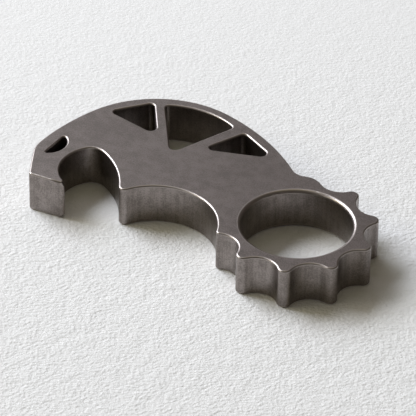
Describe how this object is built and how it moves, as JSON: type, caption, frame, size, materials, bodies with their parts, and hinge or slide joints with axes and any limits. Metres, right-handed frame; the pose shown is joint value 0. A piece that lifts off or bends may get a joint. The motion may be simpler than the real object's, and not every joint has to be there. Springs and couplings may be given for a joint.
{
  "type": "keychain bottle opener",
  "caption": "Flat solid metal keychain bottle opener: a hooked head with a cap jaw, cut-out windows and an eye slot, a finger groove, and a finger ring with scalloped teeth.",
  "frame": {"origin": "on the axis of the finger bore, halfway through the plate's thickness", "axes": "+Z out of the plate's upper broad face, -X from the finger ring to the head with the cap jaw, +Y to the side of the arch and its windows"},
  "size_m": [0.0806, 0.051, 0.0094],
  "materials": {
    "opener_metal": "satin, bead-blasted and tumbled, warm dark grey"
  },
  "bodies": {
    "root": {"opener_body": "opener_metal"}
  },
  "joints": []
}
